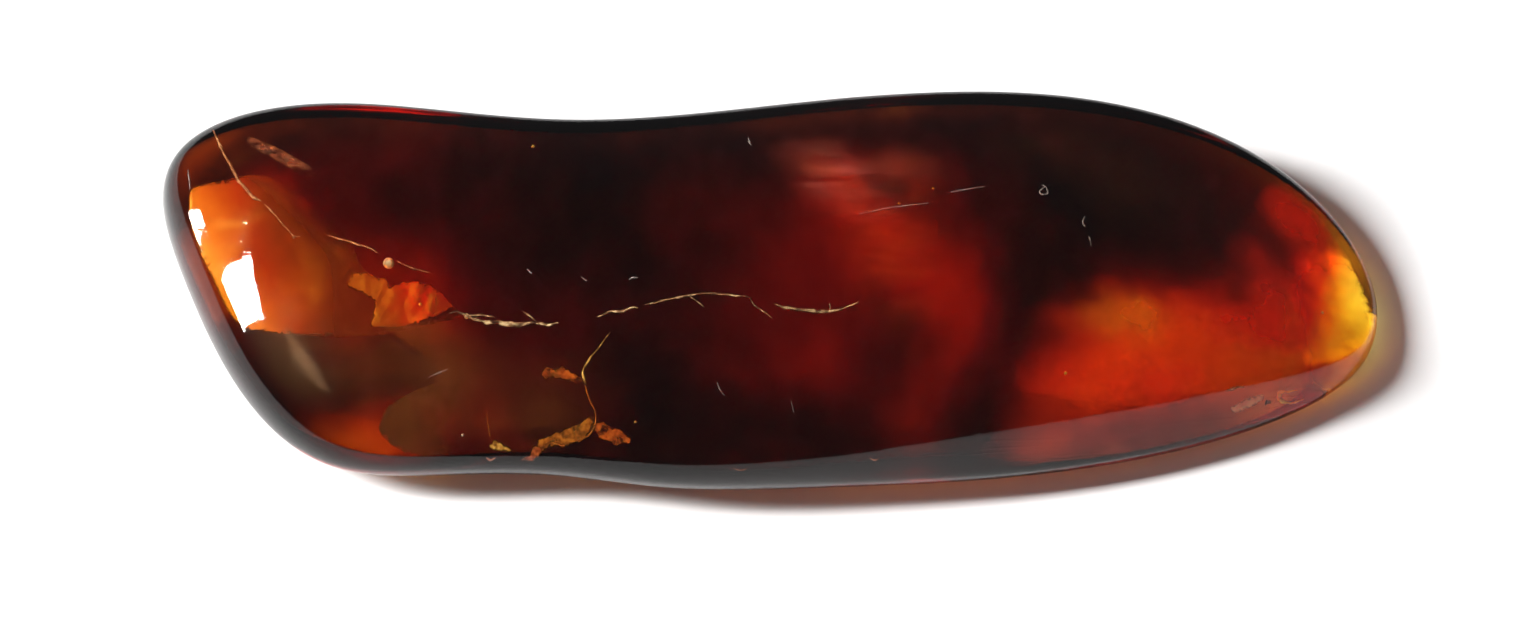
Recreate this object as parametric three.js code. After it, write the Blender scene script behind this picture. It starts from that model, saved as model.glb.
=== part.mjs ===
// A polished piece of dark cherry amber: one solid, a long flattish pebble.
//
// Millimetres, +Z up, +X along the length towards the thin, clear tip. The stone lies on the
// flat of its underside, and the origin is at the bottom centre of its box.
//
// The form is a stack of closed rings. The widest ring is the rim. Above it, each ring is drawn in
// towards a ridge line that runs along the crest; below it, the rings turn under to a flat base.
// A section from the ridge out to the rim is a gentle dome that ends in a rounded shoulder. The
// shoulder changes on the way round: tight along the back, tall at the blunt left end, almost none
// at the thin tip, and low along the front. A broad polished bevel cuts it at the front right.

import * as THREE from 'three';

// Driving dimensions.
const RIDGE_SHARE = 0.78; // how far towards each end the ridge line runs
const EDGE_RADIUS = 0.12; // rounds off the bevel's edge at the rim
const BEVEL_CRISPNESS = 6; // higher makes a sharper line where the bevel meets the dome

// Control points of the rim, clockwise seen from above. Each row is [x, y, height above the table,
// inset of the flat base, shoulder width, shoulder height, bevel tilt in degrees]. A smooth closed
// curve runs close inside them. A bevel near 90 degrees cuts nothing off.
const RIM = [
  // blunt left end, upper corner
  [-27.7, 5.2, 2.6, 3.4, 1.0, 2.2, 86],
  [-26.2, 7.5, 2.6, 3.4, 0.7, 2.4, 86],
  // back, with its shallow waist
  [-22.8, 8.65, 2.6, 3.4, 0.4, 2.5, 86],
  [-18.5, 8.7, 2.6, 3.4, 0.3, 2.8, 86],
  [-13.5, 7.9, 2.6, 3.4, 0.25, 3.1, 86],
  [-8.5, 7.3, 2.6, 3.4, 0.22, 3.4, 86],
  [-3.0, 7.85, 2.6, 3.4, 0.22, 3.2, 86],
  [3.0, 8.75, 2.6, 3.4, 0.22, 3.0, 86],
  [9.0, 9.25, 2.6, 3.2, 0.22, 2.8, 86],
  [14.5, 9.2, 2.4, 2.8, 0.25, 2.4, 86],
  [19.7, 8.3, 2.0, 2.0, 0.4, 1.8, 86],
  // thin right tip
  [24.1, 6.0, 1.4, 1.2, 0.6, 1.2, 86],
  [26.85, 2.45, 1.0, 0.8, 0.6, 0.8, 86],
  [27.3, -1.1, 1.0, 0.8, 0.5, 0.8, 80],
  [25.8, -3.6, 1.1, 0.9, 0.9, 2.0, 66],
  // front, from the broad bevel to the low edge with its faint dip
  [21.5, -5.9, 1.4, 1.1, 1.4, 3.1, 60],
  [15.5, -7.6, 1.7, 1.4, 1.2, 2.6, 60],
  [9.0, -8.6, 2.1, 2.2, 0.8, 1.8, 65],
  [2.0, -9.0, 2.4, 3.0, 0.8, 1.3, 74],
  [-4.5, -9.3, 2.6, 3.4, 0.8, 1.2, 82],
  [-9.5, -8.3, 2.6, 3.4, 0.6, 0.8, 85],
  [-14.5, -8.45, 2.6, 3.4, 0.6, 0.8, 86],
  [-18.9, -8.6, 2.6, 3.4, 0.7, 1.2, 86],
  // slanting left end
  [-22.0, -6.8, 2.6, 3.4, 0.9, 2.0, 86],
  [-24.4, -3.4, 2.6, 3.4, 1.1, 2.3, 86],
  [-26.2, 0.9, 2.6, 3.4, 1.1, 2.3, 86],
];

// Control points of the ridge line, at even steps along x: [height above the table, y].
const RIDGE_START = -27;
const RIDGE_STEP = 9;
const RIDGE = [
  [6.2, 3.4],
  [7.3, 2.2],
  [7.8, 0.8],
  [8.0, 0.0],
  [8.0, 0.0],
  [6.2, -0.4],
  [1.6, -1.4],
];

// How finely the rings are cut.
const STEPS_PER_POINT = 4;
const TOP_RINGS = 22;
const UNDER_RINGS = 8;
const CREST_SHARE = 0.03; // the innermost ring, close about the ridge line

// A value row of the uniform cubic B-spline between the middle two of four control rows.
function blend(rows, share) {
  const rest = 1 - share;
  const weights = [
    rest ** 3 / 6,
    (3 * share ** 3 - 6 * share ** 2 + 4) / 6,
    (3 * rest ** 3 - 6 * rest ** 2 + 4) / 6,
    share ** 3 / 6,
  ];
  return rows[0].map((_, column) =>
    weights.reduce((sum, weight, row) => sum + weight * rows[row][column], 0),
  );
}

// The rim at a place that counts control points round the curve.
function rimAt(place) {
  const first = Math.floor(place);
  const rows = [-1, 0, 1, 2].map((step) => RIM[(first + step + RIM.length) % RIM.length]);
  const [x, y, level, inset, shoulderWidth, shoulderHeight, bevelTilt] = blend(
    rows,
    place - first,
  );
  return { x, y, level, inset, shoulderWidth, shoulderHeight, bevelTilt };
}

// A control row of the ridge. Past either end the rows run on straight.
function ridgeRow(index) {
  const last = RIDGE.length - 1;
  const end = THREE.MathUtils.clamp(index, 0, last);
  const inner = end === 0 ? 1 : last - 1;
  const past = Math.abs(index - end);
  return RIDGE[end].map((value, column) => value + past * (value - RIDGE[inner][column]));
}

// The ridge line's height and y at a given x.
function ridgeAt(x) {
  const last = RIDGE.length - 1;
  const place = THREE.MathUtils.clamp((x - RIDGE_START) / RIDGE_STEP, 0, last);
  const first = Math.min(Math.floor(place), last - 1);
  const rows = [-1, 0, 1, 2].map((step) => ridgeRow(first + step));
  const [height, y] = blend(rows, place - first);
  return { height, y };
}

// The section through one place on the rim, from its end on the ridge line out to the rim.
function sectionAt(place) {
  const rim = rimAt(place);
  const innerX = rim.x * RIDGE_SHARE;
  const inner = new THREE.Vector2(innerX, ridgeAt(innerX).y);
  const outer = new THREE.Vector2(rim.x, rim.y);
  return { ...rim, inner, outer, reach: inner.distanceTo(outer) };
}

// The lower of two heights above the rim, smoothed where they cross. At the rim both are 0.
function softLower(a, b) {
  return (a ** -BEVEL_CRISPNESS + b ** -BEVEL_CRISPNESS) ** (-1 / BEVEL_CRISPNESS);
}

// A point on the upper side, at a share of the way from the ridge line (0) to the rim (1).
// The dome falls away as the square of the share. The shoulder is a quarter ellipse at the rim.
// The bevel is a plane that rises inwards from the rim.
function topPoint(section, share) {
  const flat = section.inner.clone().lerp(section.outer, share);
  const crest = ridgeAt(flat.x).height - section.level - section.shoulderHeight;
  const sharpness = (2 * section.reach) / section.shoulderWidth;
  const shoulder = section.shoulderHeight * Math.sqrt(1 - share ** sharpness);
  const dome = crest * (1 - share ** 2) + shoulder;
  const away = (1 - share) * section.reach;
  const slope = Math.tan(THREE.MathUtils.degToRad(section.bevelTilt));
  const bevel = slope * Math.sqrt(away * (away + 2 * EDGE_RADIUS));
  return new THREE.Vector3(flat.x, flat.y, section.level + softLower(dome, bevel));
}

// A point on the lower side, at an angle of the quarter ellipse that turns from the rim (0) under
// to the flat base (a right angle).
function underPoint(section, angle) {
  const inset = section.inset * (1 - Math.cos(angle));
  const flat = section.inner.clone().lerp(section.outer, 1 - inset / section.reach);
  return new THREE.Vector3(flat.x, flat.y, section.level * (1 - Math.sin(angle)));
}

// All rings, from the crest out over the shoulder to the rim and in under to the base. The steps
// grow finer towards the rim, where the surface turns fastest.
function makeRings() {
  const count = RIM.length * STEPS_PER_POINT;
  const sections = Array.from({ length: count }, (_, step) => sectionAt(step / STEPS_PER_POINT));
  const rings = [];
  for (let ring = 0; ring <= TOP_RINGS; ring += 1) {
    const share = Math.sin(((ring / TOP_RINGS) * Math.PI) / 2);
    rings.push(sections.map((section) => topPoint(section, Math.max(share, CREST_SHARE))));
  }
  for (let ring = 1; ring <= UNDER_RINGS; ring += 1) {
    const angle = ((ring / UNDER_RINGS) * Math.PI) / 2;
    rings.push(sections.map((section) => underPoint(section, angle)));
  }
  return rings;
}

// Triangles of the band between one ring and the next ring out or down.
function bandFaces(start, count) {
  const faces = [];
  for (let step = 0; step < count; step += 1) {
    const next = (step + 1) % count;
    const [a, b] = [start + step, start + next];
    const [c, d] = [b + count, a + count];
    faces.push(a, b, c, a, c, d);
  }
  return faces;
}

// Triangles that close a ring with a strip from its back half across to its front half.
function capFaces(start, count, facesUp) {
  const faces = [];
  for (let step = 0; step < count / 2; step += 1) {
    const [back, nextBack] = [start + step, start + step + 1];
    const [front, nextFront] = [start + ((count - step) % count), start + count - step - 1];
    if (nextFront !== nextBack) {
      faces.push(...(facesUp ? [front, nextFront, nextBack] : [front, nextBack, nextFront]));
    }
    if (front !== back) {
      faces.push(...(facesUp ? [front, nextBack, back] : [front, back, nextBack]));
    }
  }
  return faces;
}

function makeStone() {
  const rings = makeRings();
  const count = rings[0].length;
  const lastStart = (rings.length - 1) * count;
  const faces = [...capFaces(0, count, true), ...capFaces(lastStart, count, false)];
  for (let start = 0; start < lastStart; start += count) {
    faces.push(...bandFaces(start, count));
  }

  const geometry = new THREE.BufferGeometry().setFromPoints(rings.flat());
  geometry.setIndex(faces);
  geometry.computeBoundingBox();
  const middle = geometry.boundingBox.getCenter(new THREE.Vector3());
  geometry.translate(-middle.x, -middle.y, 0);
  geometry.computeVertexNormals();
  return geometry;
}

const polished = new THREE.MeshStandardMaterial({ color: '#5a1408', roughness: 0.08, metalness: 0 });

const amber = new THREE.Mesh(makeStone(), polished);
amber.name = 'amber';

const group = new THREE.Group();
group.add(amber);

export default group;
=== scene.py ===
"""A polished piece of dark cherry amber on white paper, lit from the left by a window.

Lengths are in millimetres unless said otherwise. +X runs to the thin tip, +Y to the back and +Z
up. The stone repeats the CAD part's dimensions and is cut finer. What is sealed in it has a place
seen from above and a depth below the polished top.
"""

import math

import bpy
import numpy as np
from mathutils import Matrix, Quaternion, Vector, geometry, noise
from mathutils.bvhtree import BVHTree


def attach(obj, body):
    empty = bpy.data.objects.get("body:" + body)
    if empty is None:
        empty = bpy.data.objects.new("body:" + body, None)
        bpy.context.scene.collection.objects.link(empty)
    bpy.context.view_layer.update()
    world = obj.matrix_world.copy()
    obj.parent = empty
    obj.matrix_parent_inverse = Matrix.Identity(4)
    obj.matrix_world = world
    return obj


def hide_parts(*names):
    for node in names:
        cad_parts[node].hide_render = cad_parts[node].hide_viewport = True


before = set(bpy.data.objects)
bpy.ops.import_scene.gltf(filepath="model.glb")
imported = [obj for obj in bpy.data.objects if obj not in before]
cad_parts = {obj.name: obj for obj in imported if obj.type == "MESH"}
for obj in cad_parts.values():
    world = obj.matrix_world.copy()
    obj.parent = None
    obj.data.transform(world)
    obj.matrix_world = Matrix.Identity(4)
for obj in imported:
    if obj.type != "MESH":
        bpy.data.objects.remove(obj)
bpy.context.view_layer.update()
scene = bpy.context.scene

MM = 0.001

# ---- the stone's driving dimensions

RIDGE_SHARE = 0.78  # how far towards each end the ridge line runs
EDGE_RADIUS = 0.12  # rounds off the bevel's edge at the rim
BEVEL_CRISPNESS = 6  # of the line where the bevel meets the dome

# Control points of the rim, clockwise from above: x, y, height above the table, base inset,
# shoulder width, shoulder height, bevel tilt in degrees.
RIM = np.array([
    # blunt left end, upper corner
    (-27.7, 5.2, 2.6, 3.4, 1, 2.2, 86),
    (-26.2, 7.5, 2.6, 3.4, 0.7, 2.4, 86),
    # back, with its shallow waist
    (-22.8, 8.65, 2.6, 3.4, 0.4, 2.5, 86),
    (-18.5, 8.7, 2.6, 3.4, 0.3, 2.8, 86),
    (-13.5, 7.9, 2.6, 3.4, 0.25, 3.1, 86),
    (-8.5, 7.3, 2.6, 3.4, 0.22, 3.4, 86),
    (-3, 7.85, 2.6, 3.4, 0.22, 3.2, 86),
    (3, 8.75, 2.6, 3.4, 0.22, 3, 86),
    (9, 9.25, 2.6, 3.2, 0.22, 2.8, 86),
    (14.5, 9.2, 2.4, 2.8, 0.25, 2.4, 86),
    (19.7, 8.3, 2, 2, 0.4, 1.8, 86),
    # thin right tip
    (24.1, 6, 1.4, 1.2, 0.6, 1.2, 86),
    (26.85, 2.45, 1, 0.8, 0.6, 0.8, 86),
    (27.3, -1.1, 1, 0.8, 0.5, 0.8, 80),
    (25.8, -3.6, 1.1, 0.9, 0.9, 2, 66),
    # front, from the broad bevel to the low edge with its faint dip
    (21.5, -5.9, 1.4, 1.1, 1.4, 3.1, 60),
    (15.5, -7.6, 1.7, 1.4, 1.2, 2.6, 60),
    (9, -8.6, 2.1, 2.2, 0.8, 1.8, 65),
    (2, -9, 2.4, 3, 0.8, 1.3, 74),
    (-4.5, -9.3, 2.6, 3.4, 0.8, 1.2, 82),
    (-9.5, -8.3, 2.6, 3.4, 0.6, 0.8, 85),
    (-14.5, -8.45, 2.6, 3.4, 0.6, 0.8, 86),
    (-18.9, -8.6, 2.6, 3.4, 0.7, 1.2, 86),
    # slanting left end
    (-22, -6.8, 2.6, 3.4, 0.9, 2, 86),
    (-24.4, -3.4, 2.6, 3.4, 1.1, 2.3, 86),
    (-26.2, 0.9, 2.6, 3.4, 1.1, 2.3, 86),
])

# Control points of the ridge line at even steps along x: height, y.
RIDGE_START = -27
RIDGE_STEP = 9
RIDGE = np.array([(6.2, 3.4), (7.3, 2.2), (7.8, 0.8), (8, 0), (8, 0), (6.2, -0.4), (1.6, -1.4)])

STEPS_PER_POINT = 20
TOP_RINGS = 130
UNDER_RINGS = 36
CREST_SHARE = 0.012  # the innermost ring, round the ridge line

POLISH_WAVES = 0.012  # the polished top isn't quite even
POLISH_WAVE_SIZE = 3.5
POLISH_START, POLISH_FULL = 1.5, 3  # heights where the waves set in


def blend(rows, share):
    """The uniform cubic B-spline between the middle two of four control rows."""
    share = share[:, None]
    rest = 1 - share
    weights = (
        rest**3 / 6,
        (3 * share**3 - 6 * share**2 + 4) / 6,
        (3 * rest**3 - 6 * rest**2 + 4) / 6,
        share**3 / 6,
    )
    return sum(weight * row for weight, row in zip(weights, rows))


def run_on(rows):
    """The rows with one more at either end, straight on."""
    return np.vstack([2 * rows[0] - rows[1], rows, 2 * rows[-1] - rows[-2]])


def rim_at(place):
    """The rim's values at places that count control points round the curve."""
    first = np.floor(place).astype(int)
    rows = [RIM[(first + step) % len(RIM)] for step in (-1, 0, 1, 2)]
    return blend(rows, place - first)


def ridge_at(x):
    """Height and y of the ridge line."""
    last = len(RIDGE) - 1
    place = np.clip((x - RIDGE_START) / RIDGE_STEP, 0, last)
    first = np.minimum(np.floor(place).astype(int), last - 1)
    rows = [run_on(RIDGE)[first + step] for step in range(4)]
    return blend(rows, place - first)


def soft_lower(a, b):
    """The lower of two heights above the rim, smoothed where they cross."""
    least = 1e-6
    powers = np.maximum(a, least) ** -BEVEL_CRISPNESS + np.maximum(b, least) ** -BEVEL_CRISPNESS
    return powers ** (-1 / BEVEL_CRISPNESS)


def stone_rings():
    """Rings of the surface, from the crest out to the rim and in under to the base."""
    count = len(RIM) * STEPS_PER_POINT
    rim = rim_at(np.arange(count) / STEPS_PER_POINT)
    outer = rim[:, :2]
    level, inset, width, height, tilt = rim.T[2:]
    inner_x = outer[:, 0] * RIDGE_SHARE
    inner = np.column_stack([inner_x, ridge_at(inner_x)[:, 1]])
    reach = np.linalg.norm(outer - inner, axis=1)
    rings = []
    for ring in range(TOP_RINGS + 1):
        share = max(math.sin(ring / TOP_RINGS * math.pi / 2), CREST_SHARE)
        flat = inner + share * (outer - inner)
        crest = ridge_at(flat[:, 0])[:, 0] - level - height
        shoulder = height * np.sqrt(np.maximum(1 - share ** (2 * reach / width), 0))
        away = (1 - share) * reach
        bevel = np.tan(np.radians(tilt)) * np.sqrt(away * (away + 2 * EDGE_RADIUS))
        rise = soft_lower(crest * (1 - share**2) + shoulder, bevel)
        rings.append(np.column_stack([flat, level + rise]))
    for ring in range(1, UNDER_RINGS + 1):
        angle = ring / UNDER_RINGS * math.pi / 2
        share = 1 - inset * (1 - math.cos(angle)) / reach
        flat = inner + share[:, None] * (outer - inner)
        rings.append(np.column_stack([flat, level * (1 - math.sin(angle))]))
    return np.array(rings)


def hand_polish(points):
    """Lets the top rise and fall by about a hundredth of a millimetre."""
    waves = [swirl(spot, octaves=3) for spot in points / POLISH_WAVE_SIZE]
    above = np.clip((points[:, 2] - POLISH_START) / (POLISH_FULL - POLISH_START), 0, 1)
    points[:, 2] += POLISH_WAVES * above * np.array(waves)
    return points


def cap_faces(start, count, faces_up):
    """A strip that closes a ring from its back half across to its front half."""
    faces = []
    for step in range(count // 2):
        back, next_back = start + step, start + step + 1
        front, next_front = start + (count - step) % count, start + count - step - 1
        face = [front, next_front, next_back, back]
        if next_front == next_back:
            face.pop(1)
        if front == back:
            face.pop()
        faces.append(face if faces_up else face[::-1])
    return faces


def band_faces(rings, count):
    """The faces between each ring of points and the next one."""
    faces = []
    for start in range(0, (rings - 1) * count, count):
        for step in range(count):
            a, b = start + step, start + (step + 1) % count
            faces.append((a, b, b + count, a + count))
    return faces


def stone_mesh():
    """The stone, its box centred over the origin."""
    rings = stone_rings()
    layers, count = rings.shape[:2]
    points = rings.reshape(-1, 3)
    middle = (points.min(axis=0) + points.max(axis=0)) / 2
    points = hand_polish(points - (middle[0], middle[1], 0))
    caps = cap_faces(0, count, True) + cap_faces((layers - 1) * count, count, False)
    return points, caps + band_faces(layers, count)


# ---- places, noise and curves

RAY_START = 20  # above or below the table, well outside the stone
SEED_GAP = 17.3  # between the slices of noise of two seeds


def height_at(x, y, side):
    """Height of the top (side 1) or the underside (side -1), or None outside the stone."""
    hit = stone_tree.ray_cast(Vector((x, y, side * RAY_START)), Vector((0, 0, -side)))[0]
    return hit and hit.z


def top_at(x, y):
    return height_at(x, y, 1)


def span_at(x, y):
    return height_at(x, y, -1), top_at(x, y)


def swirl(place, octaves):
    """Smooth noise between about -1 and 1, each octave half as wide and strong as the last."""
    return noise.fractal(Vector(place), 1, 2, octaves)


def drift(x, y, size, octaves=4, seed=0):
    """Smooth seeded noise over x and y, with features about this wide."""
    return swirl((x / size, y / size, SEED_GAP * seed + 0.5), octaves)


def smooth_step(value, start, end):
    """0 before start, 1 after end, and a smooth rise between."""
    share = min(max((value - start) / (end - start), 0), 1)
    return share * share * (3 - 2 * share)


def smooth_path(points, steps):
    """A Catmull-Rom curve through points, which may carry more values than x and y."""
    rows = run_on(np.asarray(points, float))
    curve = []
    for first in range(len(rows) - 3):
        a, b, c, d = rows[first : first + 4]
        for step in range(steps):
            s = step / steps
            bend = 2 * a - 5 * b + 4 * c - d + s * (3 * (b - c) + d - a)
            curve.append(b + 0.5 * s * (c - a + s * bend))
    curve.append(rows[-2])
    return np.array(curve)


def smooth_loop(outline, steps=4):
    """A closed curve through the outline's points."""
    rows = np.asarray(outline, float)
    run = smooth_path(np.vstack([rows[-1], rows, rows[:2]]), steps)
    return run[steps : -2 * steps]


def torn_loop(outline, ragged, seed, steps=5):
    """Straight edges through the outline's points, shaken a little to both sides."""
    tear_size = 0.2
    corners = np.asarray(outline, float)
    ring = []
    for start, end in zip(corners, np.roll(corners, -1, axis=0)):
        for step in range(steps):
            x, y = start + step / steps * (end - start)
            shift_x = ragged * drift(x, y, tear_size, seed=seed + 4)
            shift_y = ragged * drift(x, y, tear_size, seed=seed + 5)
            ring.append((x + shift_x, y + shift_y))
    return np.array(ring)


def ribbon_outline(path):
    """The outline of a band along x, y, width rows."""
    line = smooth_path(path, steps=4)
    ahead = np.gradient(line[:, :2], axis=0)
    ahead /= np.linalg.norm(ahead, axis=1, keepdims=True)
    across = np.column_stack([-ahead[:, 1], ahead[:, 0]]) * line[:, 2:] / 2
    return np.vstack([line[:, :2] + across, (line[:, :2] - across)[::-1]])


def oval(middle_x, middle_y, length, width, turn, corners=14):
    """An ellipse's outline, from its half sizes and its turn in degrees."""
    angle = math.radians(turn)
    outline = []
    for corner in range(corners):
        way = corner / corners * 2 * math.pi
        along, across = length * math.cos(way), width * math.sin(way)
        x = middle_x + along * math.cos(angle) - across * math.sin(angle)
        y = middle_y + along * math.sin(angle) + across * math.cos(angle)
        outline.append((x, y))
    return outline


SPOT_FALL = 0.7
SPOT_POWER = 1.25  # above 1, a spot has a fuller middle than a bell curve


def spots_at(x, y, spots):
    """Soft overlapping ellipses: 0 where there are none, 1 at most.

    A spot is x, y, half length, half width, turn in degrees and its share at the middle.
    """
    left = 1
    for middle_x, middle_y, length, width, turn, amount in spots:
        angle = math.radians(turn)
        dx, dy = x - middle_x, y - middle_y
        along = (dx * math.cos(angle) + dy * math.sin(angle)) / length
        across = (dy * math.cos(angle) - dx * math.sin(angle)) / width
        left *= 1 - amount * math.exp(-SPOT_FALL * (along**2 + across**2) ** SPOT_POWER)
    return 1 - left


# ---- pieces from points


def add_mesh(name, points, faces, material):
    """A new object from points in millimetres."""
    mesh = bpy.data.meshes.new(name)
    mesh.from_pydata((np.asarray(points) * MM).tolist(), [], [list(f) for f in faces])
    mesh.validate()
    mesh.shade_smooth()
    mesh.materials.append(material)
    piece = bpy.data.objects.new(name, mesh)
    scene.collection.objects.link(piece)
    return piece


def add_inclusion(name, slot, points, faces, material, **values):
    """Something sealed in the stone. Its values, one for each point, are for its material."""
    piece = add_mesh(name, points, faces, material)
    for value_name, numbers in values.items():
        layer = piece.data.attributes.new(value_name, "FLOAT", "POINT")
        layer.data.foreach_set("value", numbers)
    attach(piece, "root")


def joined(parts):
    """Several (points, faces) parts as one."""
    points, faces = [], []
    for part_points, part_faces in parts:
        start = len(points)
        points.extend(part_points)
        faces.extend([start + corner for corner in face] for face in part_faces)
    return points, faces


def two_skins(places, faces):
    """A closed body whose upper and lower skin meet at its rim, where the half depth is 0.

    Places are x, y, middle height and half depth by key.
    """
    points, upper, lower = [], {}, {}
    for key, (x, y, level, half) in places.items():
        upper[key] = lower[key] = len(points)
        points.append((x, y, level + half))
        if half:
            lower[key] = len(points)
            points.append((x, y, level - half))
    skins = []
    for face in faces:
        skins.append([upper[key] for key in face])
        skins.append([lower[key] for key in reversed(face)])
    return points, skins


FLAKE_THICKNESS = 0.02
FLAKE_FEATHER = 0.1  # it thins out this close to its border
FLAKE_COVER = 0.1  # at least this much amber lies over it
FLAKE_SHAKE = 0.3  # of the spacing between its points
FLAKE_SHAKE_SIZE = 1.3  # of the spacing as well
FLAKE_WAVE_SIZE = 1.2
FLAKE_DIP_SIZE = 0.4


def shaken_grid(low, high, spacing, seed):
    """A staggered grid of points with every point moved a little."""
    size = spacing * FLAKE_SHAKE_SIZE
    spots = []
    for step, y in enumerate(np.arange(low[1], high[1], spacing)):
        for x in np.arange(low[0] + spacing * 0.5 * (step % 2), high[0], spacing):
            shake_x = FLAKE_SHAKE * spacing * drift(x, y, size, seed=seed)
            shake_y = FLAKE_SHAKE * spacing * drift(x, y, size, seed=seed + 1)
            spots.append(Vector((x + shake_x, y + shake_y)))
    return spots


def value_at(x, y, rule):
    """A rule is a number, or a function of x and y."""
    return rule(x, y) if callable(rule) else rule


def flake_mesh(outline, depth, spacing, seed, roughness=0.05, dips=0):
    """A thin closed flake: points, faces and how far each point lies inside the outline."""
    border = [Vector(corner[:2]) for corner in outline]
    count = len(border)
    extra = shaken_grid(np.min(outline, axis=0), np.max(outline, axis=0), spacing, seed)
    inside_only, tolerance = 1, 1e-4
    verts, _, faces, origin, _, _ = geometry.delaunay_2d_cdt(
        border + extra, [], [list(range(count))], inside_only, tolerance
    )
    on_border = [any(corner < count for corner in source) for source in origin]
    faces = [face for face in faces if not all(on_border[corner] for corner in face)]
    rim = np.array([(v.x, v.y) for v, outer in zip(verts, on_border) if outer])

    def inside(x, y):
        return np.min(np.hypot(rim[:, 0] - x, rim[:, 1] - y))

    places = {}
    for corner in sorted({corner for face in faces for corner in face}):
        x, y = verts[corner]
        below_top = value_at(x, y, depth)
        below_top -= roughness * drift(x, y, FLAKE_WAVE_SIZE, seed=seed + 2)
        below_top -= dips * drift(x, y, FLAKE_DIP_SIZE, seed=seed + 3)
        level = top_at(x, y) - max(below_top, FLAKE_COVER)
        thinning = 0 if on_border[corner] else min(1, inside(x, y) / FLAKE_FEATHER)
        places[corner] = (x, y, level, FLAKE_THICKNESS / 2 * thinning)
    points, skins = two_skins(places, faces)
    return points, skins, [inside(x, y) for x, y, _ in points]


def add_flake(
    name, outline, depth, spacing, seed, material, solidity=1, tone=0.5, feather=0.05, ragged=0,
    **shape,
):
    """A flake whose depth, solidity and tone are rules. It fades out over the feather.

    A ragged outline is straight between its points and torn by about this much.
    """
    border = torn_loop(outline, ragged, seed) if ragged else smooth_loop(outline)
    points, faces, inside = flake_mesh(border, depth, spacing, seed, **shape)
    solid = [
        value_at(x, y, solidity) * smooth_step(near, 0, feather)
        for (x, y, _), near in zip(points, inside)
    ]
    tones = [value_at(x, y, tone) for x, y, _ in points]
    add_inclusion(name, "fracture", points, faces, material, solidity=solid, tone=tones)


SLIVER_SIDES = 6
SLIVER_HEIGHT = 0.6  # of its width
SLIVER_SWAY = 0.4  # of its width
SLIVER_SWELL = 0.6
SLIVER_DIP = 0.04


def sliver_mesh(path, depth, seed):
    """A closed uneven thread this far below the top. Its path gives widths in hundredths."""
    line = smooth_path(path, steps=10)
    points = []
    for place, (x, y, hundredths) in enumerate(line):
        width = hundredths / 100
        ahead = line[min(place + 1, len(line) - 1)][:2] - line[max(place - 1, 0)][:2]
        ahead = ahead / max(np.linalg.norm(ahead), 1e-6)
        sway = SLIVER_SWAY * width * drift(x, y, 0.4, seed=seed)
        half = width * (1 + SLIVER_SWELL * drift(x, y, 0.3, seed=seed + 1)) / 2
        level = top_at(x, y) - depth - SLIVER_DIP * drift(x, y, 0.8, seed=seed + 2)
        for side in range(SLIVER_SIDES):
            angle = side / SLIVER_SIDES * 2 * math.pi
            out = sway + half * math.cos(angle)
            down = SLIVER_HEIGHT * abs(half) * (1 + math.sin(angle))
            points.append((x - ahead[1] * out, y + ahead[0] * out, level - down))
    first_end = list(range(SLIVER_SIDES))
    last_end = [len(points) - SLIVER_SIDES + side for side in first_end]
    return points, band_faces(len(line), SLIVER_SIDES) + [first_end[::-1], last_end]


def add_slivers(name, paths, depth, seed, material):
    parts = [sliver_mesh(path, depth, seed + 10 * place) for place, path in enumerate(paths)]
    add_inclusion(name, "fracture", *joined(parts), material)


BEAD_RINGS = 12
BEAD_SIDES = 20
BEAD_UNEVEN = 0.07


def bead_mesh(x, y, depth, radius, seed):
    """A small closed bead, a little uneven."""
    middle = Vector((x, y, top_at(x, y) - depth))
    points = []
    for ring in range(1, BEAD_RINGS):
        polar = ring / BEAD_RINGS * math.pi
        for step in range(BEAD_SIDES):
            angle = step / BEAD_SIDES * 2 * math.pi
            flat = math.sin(polar)
            way = Vector((flat * math.cos(angle), flat * math.sin(angle), math.cos(polar)))
            bump = 1 + BEAD_UNEVEN * swirl(way * 1.5 + Vector((seed, 0, 0)), octaves=2)
            points.append(middle + way * radius * bump)
    faces = [face[::-1] for face in band_faces(BEAD_RINGS - 1, BEAD_SIDES)]
    top, bottom = len(points), len(points) + 1
    last = top - BEAD_SIDES
    for step in range(BEAD_SIDES):
        after = (step + 1) % BEAD_SIDES
        faces += [(top, step, after), (bottom, last + after, last + step)]
    up = Vector((0, 0, radius))
    return points + [middle + up, middle - up], faces


# ---- materials


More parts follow.
